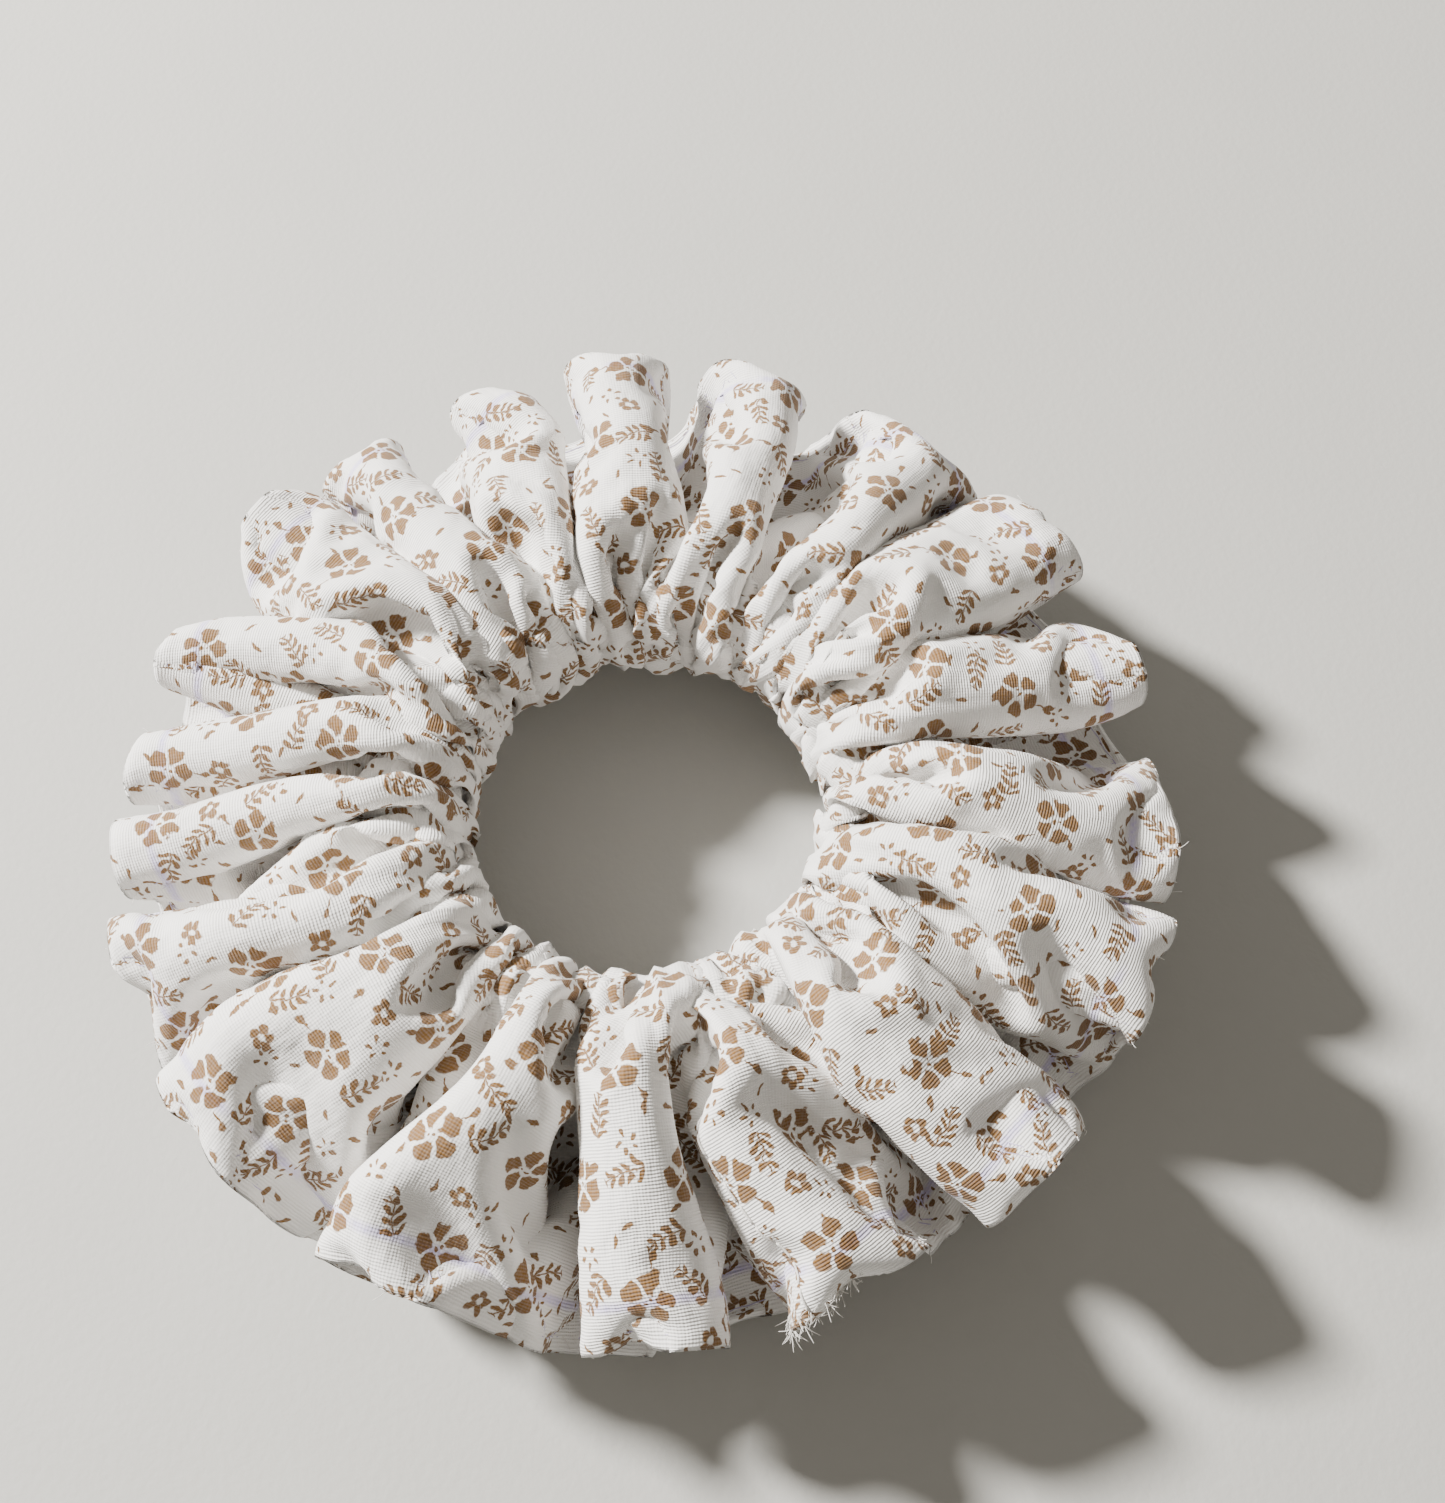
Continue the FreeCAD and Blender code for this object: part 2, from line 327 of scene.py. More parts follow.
def keep_out(cloth, at_hole):
    """Holds the cloth round the elastic, out of the hole, and on the table."""
    inside = BAND_OUTSIDE - 2 * BAND_THICK - 0.6
    outside = BAND_OUTSIDE + 0.6
    over = BAND_WIDTH / 2 + 0.6
    radius = np.sqrt(cloth[..., 0] ** 2 + cloth[..., 1] ** 2)
    held = np.clip(radius, HOLE_RADIUS, OUTER_RADIUS + 1)
    held[:, at_hole] = np.minimum(held[:, at_hole], inside)
    cloth[..., :2] *= (held / radius)[..., None]
    height = cloth[..., 2] - REAL(MID_HEIGHT)
    on_band = (held > inside) & (held < outside) & (np.abs(height) < over) & ~at_hole[None, :]
    height[on_band] = np.where(height[on_band] < 0, -over, over)
    cloth[..., 2] = np.clip(height + REAL(MID_HEIGHT), 0.25, 2 * MID_HEIGHT - 0.25)


def relax(cloth, steps=140, passes=6):
    """Lets the cloth out to its cut length, a little at a time, and lets it settle."""
    draws = np.random.default_rng(7)
    row = np.minimum(np.arange(ROWS), ROWS - np.arange(ROWS))
    at_hole = row > HALF - 3
    per_row = np.interp(row, [0, 3, 18, HALF - 6, HALF], [0.7, 0.95, 0.95, 0.5, 0.5]).astype(REAL)
    thickness = np.tile(per_row, COLUMNS)
    stiff = np.clip((HALF - row - 12) / 22, 0, 1)
    bend = (0.2 * (0.03 + 0.97 * stiff)).astype(REAL)
    long_bend = (0.1 * stiff).astype(REAL)
    lean = smooth(draws.standard_normal((COLUMNS, 1)), 30)
    lean = lean * LEAN / lean.std() * np.clip(1 - row / (HALF * 0.7), 0, 1)
    puff = (PUFF * np.clip((row - 12) / 10, 0, 1)).astype(REAL)[None, :, None]
    across = REAL(TUBE_ROUND / ROWS)
    speed = np.zeros_like(cloth)
    for step in range(steps):
        let_out = min(1.0, step / (0.6 * steps))
        along = REAL((START_LENGTH + (CUT_LENGTH - START_LENGTH) * let_out) / COLUMNS)
        diagonal = REAL(math.hypot(along, across))
        before = cloth.copy()
        speed *= REAL(SPEED_KEPT)
        speed[..., 2] -= REAL(WEIGHT)
        speed += normals_of(cloth) * puff
        radius = np.sqrt(cloth[..., 0] ** 2 + cloth[..., 1] ** 2)
        push = (lean * np.sign(cloth[..., 2] - MID_HEIGHT) / radius).astype(REAL)
        speed[..., 0] -= cloth[..., 1] * push
        speed[..., 1] += cloth[..., 0] * push
        cloth += speed
        if step % 2 == 0:
            pairs = close_pairs(cloth, NEAR)
        for k in range(passes):
            along_ring(cloth, 1, pull, along, REAL(1.0))
            round_tube(cloth, 1, pull, across, REAL(1.0))
            across_cells(cloth, diagonal, REAL(SHEAR))
            along_ring(cloth, 2, spread, 2 * along, bend)
            round_tube(cloth, 2, spread, 2 * across, REAL(0.3))
            round_tube(cloth, 3, spread, REAL(2.92) * across, REAL(BEND_ACROSS))
            along_ring(cloth, 4, spread, REAL(3.72) * along, long_bend)
            for away, gap, strength in PRESSED:
                press(cloth[:, away], cloth[:, -away], REAL(gap), REAL(strength))
            if k % 3 == 2:
                keep_apart(cloth, pairs, thickness)
            keep_out(cloth, at_hole)
        speed = cloth - before
        pace = np.sqrt(np.einsum("...i,...i->...", speed, speed))
        speed *= np.minimum(1, REAL(TOP_SPEED) / np.maximum(pace, 1e-6))[..., None]
    return cloth


# ---------------------------------------------------------------- meshes


def new_object(name, points, faces, material, smooth_shaded=True):
    """A mesh object of points in millimetres."""
    mesh = bpy.data.meshes.new(name)
    mesh.from_pydata((np.asarray(points, float).reshape(-1, 3) * MM).tolist(), [], faces)
    mesh.validate()
    if smooth_shaded:
        mesh.shade_smooth()
    mesh.materials.append(material)
    obj = bpy.data.objects.new(name, mesh)
    bpy.context.scene.collection.objects.link(obj)
    return obj


def layer_offset(across, most, share):
    """From the middle between the two layers towards the upper: a share of their gap, up to a limit."""
    gap = np.linalg.norm(across, axis=-1, keepdims=True) + 1e-6
    return across / gap * np.minimum(most, share * gap)


def allowance(cloth, side):
    """Rows of the seam allowance from the crease in, between the two layers: side is 1 above, -1 below."""
    rows = []
    for k in range(1, ALLOWANCE_ROWS + 1):
        above, below = cloth[:, k], cloth[:, -k]
        rows.append((above + below) / 2 + side * layer_offset(above - below, 0.12, 0.13))
    return np.stack(rows, 1)


def refined(grid, axis, closed):
    """A grid with a point more between each two along an axis, on a smooth curve through them all."""
    line = np.moveaxis(grid, axis, 0)
    if closed:
        before, after, beyond = np.roll(line, 1, 0), np.roll(line, -1, 0), np.roll(line, -2, 0)
        between = (9 * (line + after) - before - beyond) / 16
        return np.moveaxis(np.stack([line, between], 1).reshape(-1, *line.shape[1:]), 0, axis)
    padded = np.concatenate([2 * line[:1] - line[1:2], line, 2 * line[-1:] - line[-2:-1]])
    between = (9 * (padded[1:-2] + padded[2:-1]) - padded[:-3] - padded[3:]) / 16
    woven = np.stack([line[:-1], between], 1).reshape(-1, *line.shape[1:])
    return np.moveaxis(np.concatenate([woven, line[-1:]]), 0, axis)


def fine_gathers(columns, across):
    """How far the small folds that run out from the hole lift the cloth, in millimetres, at each point."""
    draws = np.random.default_rng(21)
    lines = []
    for window in (2.0, 3.0):
        line = smooth(draws.standard_normal(columns), window)
        lines.append(line / line.std())
    from_hole = np.abs(across - TUBE_ROUND / 2)[None, :]
    drift = np.clip(from_hole / 36, 0, 1)
    wave = lines[0][:, None] * (1 - drift) + lines[1][:, None] * drift
    strength = np.exp(-((from_hole - 10) / 13) ** 2)
    return FOLD_LIFT * strength * (0.7 - np.minimum(np.abs(wave), 1.6) ** 0.8)


def cover_grid(cloth):
    """The whole strip as a grid, raw edge to raw edge, and how far round the tube each row is."""
    upper = allowance(cloth, 1)[:, ::-1]
    lower = allowance(cloth, -1)
    grid = np.concatenate([upper, cloth, cloth[:, :1], lower], 1)
    grid = refined(refined(grid, 0, True), 1, False)
    spacing = TUBE_ROUND / ROWS / 2
    across = (np.arange(grid.shape[1]) - 2 * ALLOWANCE_ROWS) * spacing
    lift = fine_gathers(grid.shape[0], across)
    return grid + normals_of(grid) * lift[..., None], across


def make_cover(grid, across, material):
    """The printed cover: one strip, joined end to end, its long edges turned inside at the side seam."""
    columns, rows = grid.shape[:2]
    index = np.arange(columns * rows).reshape(columns, rows)
    ahead = np.roll(index, -1, 0)
    faces = np.stack([index[:, :-1], ahead[:, :-1], ahead[:, 1:], index[:, 1:]], -1).reshape(-1, 4)
    obj = new_object("cotton_cover", grid, faces.tolist(), material)
    layer = obj.data.uv_layers.new(name="cut")
    along = np.arange(columns + 1) * CUT_LENGTH / columns
    column, row = np.divmod(np.arange(columns * (rows - 1)), rows - 1)
    corners = [(column, row), (column + 1, row), (column + 1, row + 1), (column, row + 1)]
    cut = np.stack([np.stack([along[c], across[r]], -1) for c, r in corners], 1) * MM
    layer.data.foreach_set("uv", cut.astype(np.float32).ravel())
    return obj


def normals_of(cloth):
    """Outward unit normals of the cloth at its grid points."""
    along = np.roll(cloth, -1, 0) - np.roll(cloth, 1, 0)
    across = np.roll(cloth, -1, 1) - np.roll(cloth, 1, 1)
    normal = np.cross(along, across)
    return normal / (np.linalg.norm(normal, axis=-1, keepdims=True) + 1e-9)


def tube(points, radius, sides=6, closed=False):
    """Vertices and faces of a thread along points."""
    points = np.asarray(points, float)
    ahead = np.roll(points, -1, 0) - np.roll(points, 1, 0)
    if not closed:
        ahead[0], ahead[-1] = points[1] - points[0], points[-1] - points[-2]
    ahead /= np.linalg.norm(ahead, axis=1)[:, None] + 1e-9
    side = np.cross(ahead[0], (0.3, 0.2, 1.0))
    rings = []
    for point, direction in zip(points, ahead):
        side = side - direction * side.dot(direction)
        side /= np.linalg.norm(side)
        other = np.cross(direction, side)
        turn = 2 * np.pi * np.arange(sides) / sides
        rings.append(point + radius * (np.cos(turn)[:, None] * side + np.sin(turn)[:, None] * other))
    faces = []
    count = len(points)
    for k in range(count if closed else count - 1):
        here, there = k * sides, (k + 1) % count * sides
        for s in range(sides):
            t = (s + 1) % sides
            faces.append((here + s, here + t, there + t, there + s))
    if not closed:
        faces.append(tuple(range(sides))[::-1])
        faces.append(tuple((count - 1) * sides + s for s in range(sides)))
    return np.concatenate(rings), faces


def threads(name, lines, radius, material, sides=6, closed=False):
    """One object of several threads."""
    points, faces = [], []
    for line in lines:
        offset = sum(len(p) for p in points)
        ring_points, ring_faces = tube(line, radius, sides, closed)
        points.append(ring_points)
        faces += [tuple(offset + v for v in face) for face in ring_faces]
    return new_object(name, np.concatenate(points), faces, material)


def make_side_seam(cloth, material):
    """The overlock's three threads: the needle's along the seam, and the loopers' over the raw edges."""
    above = cloth[:, 1:ALLOWANCE_ROWS + 2]
    below = cloth[:, -1:-ALLOWANCE_ROWS - 2:-1]
    middle, offset = (above + below) / 2, layer_offset(above - below, 0.22, 0.25)
    faces = {1: middle + offset, -1: middle - offset}
    stitches, points_in_leg = 280, 4

    def laid(side, start, reaches):
        """Two legs a stitch on a face of the allowance, between two distances in from the crease."""
        legs = np.arange(2 * stitches + 1)
        fine = np.arange(0, legs[-1], 1 / points_in_leg)
        column = np.interp(fine, legs, (legs / 2 + start) * COLUMNS / stitches)
        reach = np.interp(fine, legs, np.asarray(reaches)[legs % 2])
        row = np.clip(reach * ROWS / TUBE_ROUND - 1, 0, ALLOWANCE_ROWS - 0.001)
        low, part = row.astype(int), (row % 1)[:, None]
        first, more = column.astype(int) % COLUMNS, (column % 1)[:, None]
        after = (first + 1) % COLUMNS
        near = faces[side][first, low] * (1 - more) + faces[side][after, low] * more
        far = faces[side][first, low + 1] * (1 - more) + faces[side][after, low + 1] * more
        return near * (1 - part) + far * part

    made = {}
    for node, side, start, reaches in (
        ("side_seam_needle_thread", 1, 0.25, (1.6, 1.8)),
        ("side_seam_upper_looper_thread", 1, 0.0, (1.9, 5.1)),
        ("side_seam_lower_looper_thread", -1, 0.2, (1.9, 5.1)),
    ):
        name = node.replace("side_seam", "overlock")
        made[node] = threads(name, [laid(side, start, reaches)], 0.07, material, 5, True)
    return made


def make_closing_seam(grid, material):
    """The seam across the tube at its joined ends, as a row of stitches on the upper and lower faces."""
    normal = normals_of(grid)[0]
    crease, hole = 2 * ALLOWANCE_ROWS, 2 * ALLOWANCE_ROWS + ROWS
    rows_in_stitch, points_in_stitch = 4, 6
    rise, sunk = 0.16, 0.02
    made = {}
    for node, low, high in (
        ("closing_seam_needle_thread", crease + 2, hole - 4),
        ("closing_seam_bobbin_thread", hole + 4, crease + 2 * ROWS - 2),
    ):
        lines = []
        for start in range(low, high - rows_in_stitch, rows_in_stitch):
            stitch = []
            for share in np.linspace(0.08, 0.92, points_in_stitch):
                row, more = divmod(start + rows_in_stitch * share, 1)
                row = int(row)
                point = grid[0, row] * (1 - more) + grid[0, row + 1] * more
                away = normal[row] * (1 - more) + normal[row + 1] * more
                stitch.append(point + away * (rise * math.sin(math.pi * share) ** 0.5 - sunk))
            lines.append(stitch)
        made[node] = threads(node.replace("_seam", ""), lines, 0.13, material)
    return made


def band_path(angle):
    """Radius of the elastic's middle at an angle past its first end: it steps in to lap inside that end."""
    inner = BAND_RADIUS - BAND_THICK - 0.1
    past = min(1.0, max(0.0, (angle - 360 + BAND_STEP) / BAND_STEP))
    return BAND_RADIUS + (inner - BAND_RADIUS) * past * past * (3 - 2 * past)


def make_elastic(material):
    """The braided elastic: a flat band of ribs on edge, once round and lapped on itself."""
    ribs, points_in_rib, stations = 10, 4, 420
    half = BAND_WIDTH / 2 * 0.985
    share = np.arange(ribs * points_in_rib + 1) / (ribs * points_in_rib)
    thick = BAND_THICK / 2 * (0.72 + 0.27 * np.abs(np.sin(np.pi * ribs * share)))
    thick[[0, -1]] = 0.12
    face = np.stack([thick, (2 * share - 1) * half], -1)
    outline = np.concatenate([face, face[::-1] * (-1, 1)])
    points = []
    for angle in np.linspace(0, 360 + BAND_LAP, stations):
        direction = math.radians(angle - BAND_LAP / 2)
        wide = band_path(angle) + outline[:, 0]
        points.append(np.stack([
            wide * math.cos(direction), wide * math.sin(direction), MID_HEIGHT + outline[:, 1],
        ], -1))
    count = len(outline)
    faces = []
    for k in range(stations - 1):
        here, there = k * count, (k + 1) * count
        for s in range(count):
            t = (s + 1) % count
            faces.append((here + s, there + s, there + t, here + t))
    faces.append(tuple(range(count)))
    faces.append(tuple((stations - 1) * count + s for s in range(count))[::-1])
    return new_object("braided_elastic", np.concatenate(points), faces, material)


def make_elastic_join(material):
    """The zigzag that sews the elastic's lap: the needle's thread outside it, and the bobbin's inside."""
    bites, points_in_bite = 8, 5
    swing_height, share_of_lap = 2.2, 0.72
    made = {}
    for node, radius in (
        ("elastic_join_needle_thread", BAND_OUTSIDE + 0.1),
        ("elastic_join_bobbin_thread", BAND_OUTSIDE - 2 * BAND_THICK - 0.2),
    ):
        points = []
        for share in np.linspace(0, 1, bites * points_in_bite + 1):
            swing = 4 * abs((share * bites / 2) % 1 - 0.5) - 1
            direction = math.radians(BAND_LAP * share_of_lap * (share - 0.5))
            points.append((
                radius * math.cos(direction),
                radius * math.sin(direction),
                MID_HEIGHT + swing_height * swing,
            ))
        made[node] = threads(node.replace("elastic_join", "zigzag"), [points], 0.14, material)
    return made


def fibre(draws, start, out, length):
    """A loose fibre that leaves the cloth outwards and bends at random."""
    points_in_fibre, rooted = 6, 0.3
    leaving = out + 0.55 * draws.standard_normal(3)
    bend = 0.5 * draws.standard_normal(3)
    point, line = start - rooted * out, []
    for k in range(points_in_fibre):
        line.append(point.copy())
        step = leaving + bend * k * 0.5
        point = point + step / np.linalg.norm(step) * length / (points_in_fibre - 1)
    return line


def make_loose_fibres(cloth, material):
    """The strip's raw ends where they stick out of the closing seam, and a few fibres along the crease."""
    draws = np.random.default_rng(11)
    ends = [(int(draws.integers(-3, 4)), draws.uniform(0.8, 2.4)) for _ in range(150)]
    strays = [(int(draws.integers(0, COLUMNS)), draws.uniform(0.6, 1.8)) for _ in range(90)]
    lines = []
    for column, length in ends + strays:
        start = cloth[column % COLUMNS, int(draws.integers(-1, 2)) % ROWS].astype(float)
        out = start * (1, 1, 0) / np.linalg.norm(start[:2])
        lines.append(fibre(draws, start, out, length))
    return threads("loose_cotton_fibres", lines, 0.032, material, 4)


# ---------------------------------------------------------------- materials


class Signal:
    """A number in a shader, which can be reckoned with as numbers are."""

    def __init__(self, tree, socket):
        self.tree, self.socket = tree, socket

    def math(self, operation, *others):
        node = self.tree.nodes.new("ShaderNodeMath")
        node.operation = operation
        for slot, value in enumerate((self, *others)):
            if isinstance(value, Signal):
                self.tree.links.new(value.socket, node.inputs[slot])
            else:
                node.inputs[slot].default_value = value
        return Signal(self.tree, node.outputs[0])

    def __add__(self, other):
        return self.math("ADD", other)

    def __sub__(self, other):
        return self.math("SUBTRACT", other)

    def __mul__(self, other):
        return self.math("MULTIPLY", other)

    def __truediv__(self, other):
        return self.math("DIVIDE", other)

    def fraction(self):
        return self.math("FRACT")

    def floor(self):
        return self.math("FLOOR")

    def abs(self):
        return self.math("ABSOLUTE")

    def cos(self):
        return self.math("COSINE")

    def sin(self):
        return self.math("SINE")

    def most(self, other):
        return self.math("MAXIMUM", other)

    def least(self, other):
        return self.math("MINIMUM", other)

    def above(self, edge, blur):
        """1 where this is well above the edge, 0 where it is well below."""
        node = self.tree.nodes.new("ShaderNodeMapRange")
        node.inputs["From Min"].default_value = edge - blur
        node.inputs["From Max"].default_value = edge + blur
        self.tree.links.new(self.socket, node.inputs["Value"])
        return Signal(self.tree, node.outputs["Result"])


def new_material(name, roughness, **finish):
    """A material, its node tree and its shader."""
    material = bpy.data.materials.new(name)
    material.use_nodes = True
    tree = material.node_tree
    shader = tree.nodes["Principled BSDF"]
    shader.inputs["Roughness"].default_value = roughness
    for socket, value in finish.items():
        shader.inputs[socket.replace("_", " ")].default_value = value
    return material, tree, shader


def noise(tree, place, scale, detail=2.0):
    """Noise from 0 to 1, at a place that a vector socket gives."""
    node = tree.nodes.new("ShaderNodeTexNoise")
    node.inputs["Scale"].default_value = scale
    node.inputs["Detail"].default_value = detail
    tree.links.new(place, node.inputs["Vector"])
    return Signal(tree, node.outputs["Fac"])


def joined(tree, x, y, z=0.0):
    """A vector socket of three signals or numbers."""
    node = tree.nodes.new("ShaderNodeCombineXYZ")
    for slot, value in enumerate((x, y, z)):
        if isinstance(value, Signal):
            tree.links.new(value.socket, node.inputs[slot])
        else:
            node.inputs[slot].default_value = value
    return node.outputs[0]


def parts(tree, vector, count=3):
    """A vector socket's parts."""
    node = tree.nodes.new("ShaderNodeSeparateXYZ")
    tree.links.new(vector, node.inputs[0])
    return [Signal(tree, node.outputs[k]) for k in range(count)]


def mixed(tree, amount, low, high):
    """A colour between two, each a colour or a socket."""
    node = tree.nodes.new("ShaderNodeMix")
    node.data_type = "RGBA"
    tree.links.new(amount.socket, node.inputs["Factor"])
    for slot, value in ((6, low), (7, high)):
        if isinstance(value, tuple):
            node.inputs[slot].default_value = (*value, 1.0)
        else:
            tree.links.new(value, node.inputs[slot])
    return node.outputs[2]


def bumped(tree, shader, height, distance, strength=1.0):
    """Raises the surface by a height signal, as much as distance in metres."""
    node = tree.nodes.new("ShaderNodeBump")
    node.inputs["Distance"].default_value = distance
    node.inputs["Strength"].default_value = strength
    tree.links.new(height.socket, node.inputs["Height"])
    tree.links.new(node.outputs["Normal"], shader.inputs["Normal"])


CELL = 11.6   # millimetres between the flowers of the print


def scattered(tree, u, v, across, up, jitter, seed):
    """Places a motif in each cell of a brick lattice: its own turned x and y, and a number for the cell."""
    row_place = v / CELL - up
    row = row_place.floor()
    place = u / CELL - across + (row * 0.5).fraction()
    column = place.floor()
    cell = joined(tree, column + seed, row, seed)
    random = tree.nodes.new("ShaderNodeTexWhiteNoise")
    tree.links.new(cell, random.inputs["Vector"])
    pick, jog, turn = parts(tree, random.outputs["Color"])
    x = (place.fraction() - 0.5) * CELL + (pick - 0.5) * jitter
    y = (row_place.fraction() - 0.5) * CELL + (jog - 0.5) * jitter
    angle = turn * (2 * math.pi)
    cosine, sine = angle.cos(), angle.sin()
    return x * cosine + y * sine, y * cosine - x * sine, pick


def folded(x, y, count):
    """Distance from the middle, and x and y turned into one of count equal sectors."""
    reach = (x * x + y * y).math("SQRT")
    angle = y.math("ARCTAN2", x) * (count / (2 * math.pi))
    off = ((angle + 0.5 + count).fraction() - 0.5) * (2 * math.pi / count)
    return reach, reach * off.cos(), reach * off.sin()


def ellipse(along, across, length, width, blur=0.25):
    """1 inside an ellipse about the middle, from its half length and half width."""
    reach = (along / length).math("POWER", 2.0) + (across / width).math("POWER", 2.0)
    return (reach * -1.0).above(-1.0, blur)


def flower(x, y, uneven):
    """Five uneven wedge-shaped petals, parted by thin gaps, about a bare middle, and a bud on a stem."""
    reach, out, side = folded(x, y, 5)
    wedge = (out * 0.68 - side.abs()).above(0.2, 0.07)
    waist = (side / out.most(0.2)).math("POWER", 2.0)
    tip = (reach + waist * 1.7 + (uneven - 0.5) * 2.4).above(2.75, 0.08) * -1.0 + 1.0
    dots = ellipse(x - 0.2, y + 0.1, 0.26, 0.22).most(ellipse(x + 0.35, y - 0.25, 0.16, 0.16))
    bud = ellipse(x - 4.5, y, 0.62, 0.4).most(ellipse(x - 3.7, y, 0.8, 0.12))
    return wedge.least(tip).least(reach.above(0.74, 0.1)).most(dots).most(bud)


def sprig(x, y):
    """A fern: a bowed stem with slanted leaves in pairs."""
    bowed = x + y * y * 0.05
    stem = (bowed.abs() * -1.0).above(-0.11, 0.05)
    taper = y * -0.13 + 1.0
    step = 1.02
    up = ((y / step).fraction() - 0.5) * step
    side = bowed.abs() / taper
    leaf_along = (side - 0.62) * 0.77 + up * 0.64
    leaf_across = up * 0.77 - (side - 0.62) * 0.64
    shape = ellipse(leaf_along, leaf_across, 0.72, 0.27).most(stem)
    within = y.above(-2.0, 0.05).least((y * -1.0).above(-2.3, 0.05))
    return shape.least(within)


def small_ring(x, y):
    """A small five-lobed flower with an open middle."""
    reach, out, side = folded(x, y, 5)
    return ellipse(out - 0.85, side, 0.55, 0.52).least(reach.above(0.42, 0.08))


def floret(x, y):
    """Five tiny seeds in a ring."""
    reach, out, side = folded(x, y, 5)
    return ellipse(out - 0.95, side, 0.38, 0.23)


def dash(x, y):
    """A tiny leaf."""
    return ellipse(x, y, 0.26, 0.74)


def chosen(pick, low, high, shape):
    """A motif only in the cells whose number is between two."""
    inside = pick.above(low, 0.0001).least((pick * -1.0).above(-high, 0.0001))
    return shape.least(inside)


def printed_cotton():
    """White poplin printed with scattered brown flowers, ferns and seeds, its weave and its creases."""
    material, tree, shader = new_material("printed_cotton", 0.82, Sheen_Weight=0.12, Sheen_Roughness=0.5)
    cut = tree.nodes.new("ShaderNodeUVMap")
    cut.uv_map = "cut"
    u, v, _ = parts(tree, cut.outputs["UV"])
    u, v = u * 1000.0, v * 1000.0
    place = joined(tree, u, v)
    warp = noise(tree, place, 0.55, 3.0)
    weft = noise(tree, joined(tree, v, u, 7.0), 0.55, 3.0)
    x, y = u + (warp - 0.5) * 1.7, v + (weft - 0.5) * 1.7

    fx, fy, pick = scattered(tree, x, y, 0.0, 0.0, 1.6, 1.0)
    motif = flower(fx, fy, weft)
    sx, sy, pick = scattered(tree, x, y, 0.5, 0.08, 1.6, 2.0)
    motif = motif.most(sprig(sx, sy))
    sx, sy, pick = scattered(tree, x, y, 0.27, 0.5, 1.4, 3.0)
    motif = motif.most(chosen(pick, 0.0, 0.55, sprig(sx, sy)))
    motif = motif.most(chosen(pick, 0.55, 1.0, floret(sx, sy)))
    sx, sy, pick = scattered(tree, x, y, 0.02, 0.64, 1.6, 4.0)
    motif = motif.most(chosen(pick, 0.0, 0.6, small_ring(sx, sy)))
    motif = motif.most(chosen(pick, 0.6, 1.0, dash(sx, sy)))
    sx, sy, pick = scattered(tree, x, y, 0.52, 0.36, 1.2, 5.0)
    motif = motif.most(chosen(pick, 0.0, 0.6, floret(sx, sy)))
    motif = motif.most(chosen(pick, 0.6, 1.0, dash(sx, sy)))
    sx, sy, pick = scattered(tree, x, y, 0.76, 0.52, 2.2, 6.0)
    motif = motif.most(dash(sx, sy))
    sx, sy, pick = scattered(tree, x, y, 0.38, 0.72, 2.2, 7.0)
    motif = motif.most(dash(sx, sy))

    pitch = 0.34
    ribs = (v * (2 * math.pi / pitch) + (warp - 0.5) * 5.0).cos()
    cross = (u * (2 * math.pi / pitch) + (weft - 0.5) * 5.0).cos()
    weave = ribs * 0.78 + cross * 0.22
    fade = noise(tree, place, 2.2, 2.0)
    ink = motif * (weave * 0.05 + 0.94 + (fade - 0.5) * 0.2)

    # The lilac overlock under the cloth shows through as a faint broken line beside the side seam.
    from_seam = v.least(v * -1.0 + TUBE_ROUND).abs()
    line = ((from_seam - 5.4).abs() * -1.0).above(-0.5, 0.3)
    broken = noise(tree, joined(tree, u, 0.0, 0.0), 0.12, 1.0).above(0.44, 0.06)
    lilac = (line * broken) * (fade * 0.9 + 0.1)

    tone = noise(tree, place, 0.09, 2.0)
    white = mixed(tree, tone, (0.83, 0.823, 0.803), (0.88, 0.876, 0.862))
    white = mixed(tree, (weave * -0.5 + 0.5) * 0.12, white, (0.60, 0.57, 0.55))
    white = mixed(tree, lilac, white, (0.50, 0.44, 0.80))
    brown = mixed(tree, fade, (0.122, 0.047, 0.003), (0.215, 0.098, 0.006))
    tree.links.new(mixed(tree, ink, white, brown), shader.inputs["Base Color"])
    creases = noise(tree, joined(tree, u * 0.32, v * 0.12), 1.0, 3.0)
    crumple = noise(tree, place, 0.35, 3.0)
    bumped(tree, shader, weave * 0.045 + creases * 0.55 + crumple * 0.25, 1.0 * MM, 0.8)
    return material


def thread_material(name, color, roughness=0.7):
    """Spun thread: its colour, and the ridges of its twist."""
    material, tree, shader = new_material(name, roughness, Sheen_Weight=0.15)
    place = tree.nodes.new("ShaderNodeTexCoord").outputs["Object"]
    grain = noise(tree, place, 9000.0, 2.0)
    deep = tuple(0.7 * c for c in color)
    tree.links.new(mixed(tree, grain, deep, color), shader.inputs["Base Color"])
    bumped(tree, shader, grain, 0.05 * MM)
    return material


def braided_elastic():
    """White braided elastic: yarns that cross in chevrons between the ribs."""
    material, tree, shader = new_material("braided_elastic", 0.6, Sheen_Weight=0.1)
    x, y, z = parts(tree, tree.nodes.new("ShaderNodeTexCoord").outputs["Object"])
    around = y.math("ARCTAN2", x) * BAND_RADIUS
    height = z * 1000.0
    rib = ((height * (10 / BAND_WIDTH)).fraction() - 0.5).abs()
    chevron = ((around * 1.3 + rib * 1.2) * (2 * math.pi)).sin()
    tree.links.new(
        mixed(tree, chevron * 0.5 + 0.5, (0.62, 0.62, 0.60), (0.86, 0.86, 0.84)),
        shader.inputs["Base Color"],
    )
    bumped(tree, shader, chevron * 0.5, 0.12 * MM)
    return material


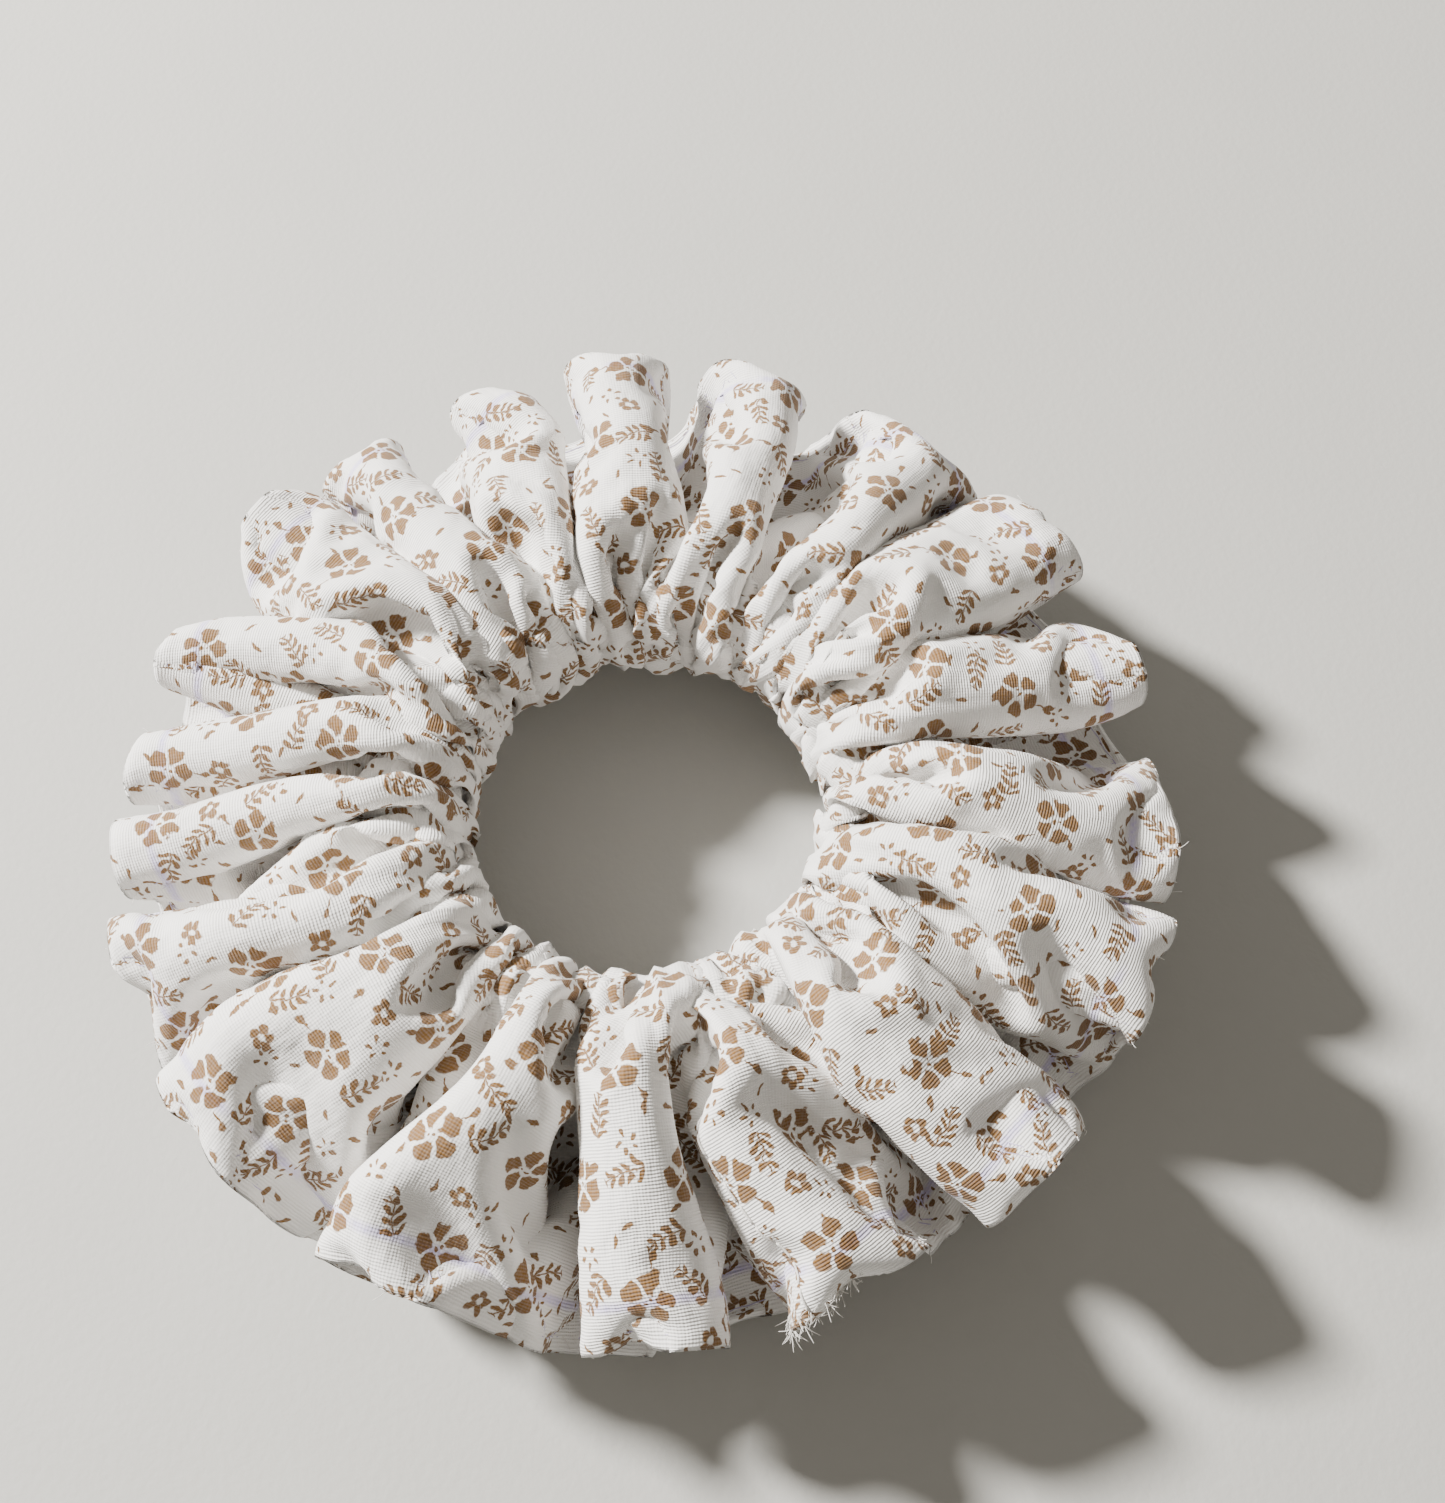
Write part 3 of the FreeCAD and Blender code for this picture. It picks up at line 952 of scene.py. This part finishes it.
def table_top():
    """A plain pale warm-grey surface with a faint grain."""
    material, tree, shader = new_material("table_top", 0.75)
    place = tree.nodes.new("ShaderNodeTexCoord").outputs["Object"]
    tone = noise(tree, place, 40.0, 4.0)
    grey = mixed(tree, tone, (0.425, 0.424, 0.402), (0.455, 0.454, 0.43))
    tree.links.new(grey, shader.inputs["Base Color"])
    bumped(tree, shader, noise(tree, place, 900.0, 3.0), 0.05 * MM)
    return material


# ---------------------------------------------------------------- camera, light and floor


def heading(turn, rise):
    """Unit vector towards a place at an angle round the ring and above the table, in degrees."""
    turn, rise = math.radians(turn), math.radians(rise)
    return Vector((math.cos(rise) * math.cos(turn), math.cos(rise) * math.sin(turn), math.sin(rise)))


def aim(obj, towards):
    """Turns a camera or a lamp to look along a direction."""
    obj.rotation_euler = towards.to_track_quat("-Z", "Y").to_euler()


def make_camera():
    """The photograph's view: from in front of the ring and well above it."""
    data = bpy.data.cameras.new("camera")
    data.sensor_width = 36.0
    data.lens = 38.5
    data.clip_start = 0.01
    camera = bpy.data.objects.new("camera", data)
    bpy.context.scene.collection.objects.link(camera)
    right = heading(VIEW_TURN + 90, 0)
    far = heading(VIEW_TURN + 180, 0)
    target = Vector((0, 0, MID_HEIGHT * MM)) + right * VIEW_RIGHT + far * VIEW_BEYOND
    towards = heading(VIEW_TURN, VIEW_RISE)
    camera.location = target + towards * VIEW_DISTANCE
    aim(camera, -towards)
    bpy.context.scene.camera = camera


def make_lights():
    """A soft key from the left, low enough to draw the pleats, and pale light all round."""
    key = bpy.data.lights.new("key", "AREA")
    key.shape = "DISK"
    key.size = 0.16
    key.energy = 66.0
    key.color = (1.0, 0.965, 0.92)
    lamp = bpy.data.objects.new("key", key)
    bpy.context.scene.collection.objects.link(lamp)
    towards = heading(VIEW_TURN + 244.5, 37)
    lamp.location = Vector((0, 0, MID_HEIGHT * MM)) + towards * 1.2
    aim(lamp, -towards)
    world = bpy.data.worlds.new("studio")
    bpy.context.scene.world = world
    world.use_nodes = True
    background = world.node_tree.nodes["Background"]
    background.inputs["Color"].default_value = (1.0, 0.93, 0.83, 1.0)
    background.inputs["Strength"].default_value = 0.38


def make_floor(material):
    """The table that it lies on."""
    reach = 2500.0
    corners = [(-reach, -reach, 0), (reach, -reach, 0), (reach, reach, 0), (-reach, reach, 0)]
    floor = new_object("table_top", corners, [(0, 1, 2, 3)], material, False)


# ---------------------------------------------------------------- putting it together


def stretches(piece, *nodes):
    """Bakes the piece's placement into its mesh, and hides the CAD nodes that it stands for."""
    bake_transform(piece)
    if nodes:
        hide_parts(*nodes)


def main():
    cotton = printed_cotton()
    lilac = thread_material("lilac_seam_thread", (0.56, 0.50, 0.72))
    white = thread_material("white_sewing_thread", (0.86, 0.84, 0.80))
    cloth = ruffled_start()
    cloth = relax(cloth)
    grid, across = cover_grid(cloth)
    cover = make_cover(grid, across, cotton)
    elastic = make_elastic(braided_elastic())
    fibres = make_loose_fibres(cloth, white)
    seam_threads = make_side_seam(cloth, lilac)
    closing_threads = {**make_closing_seam(grid, white), **make_elastic_join(white)}

    stretches(cover, "fabric_cover")
    stretches(fibres)
    stretches(elastic, "elastic_band")
    for slot, pieces in (("seam_thread", seam_threads), ("closing_thread", closing_threads)):
        for node, piece in pieces.items():
            stretches(piece, node)

    make_floor(table_top())
    make_lights()
    make_camera()


main()
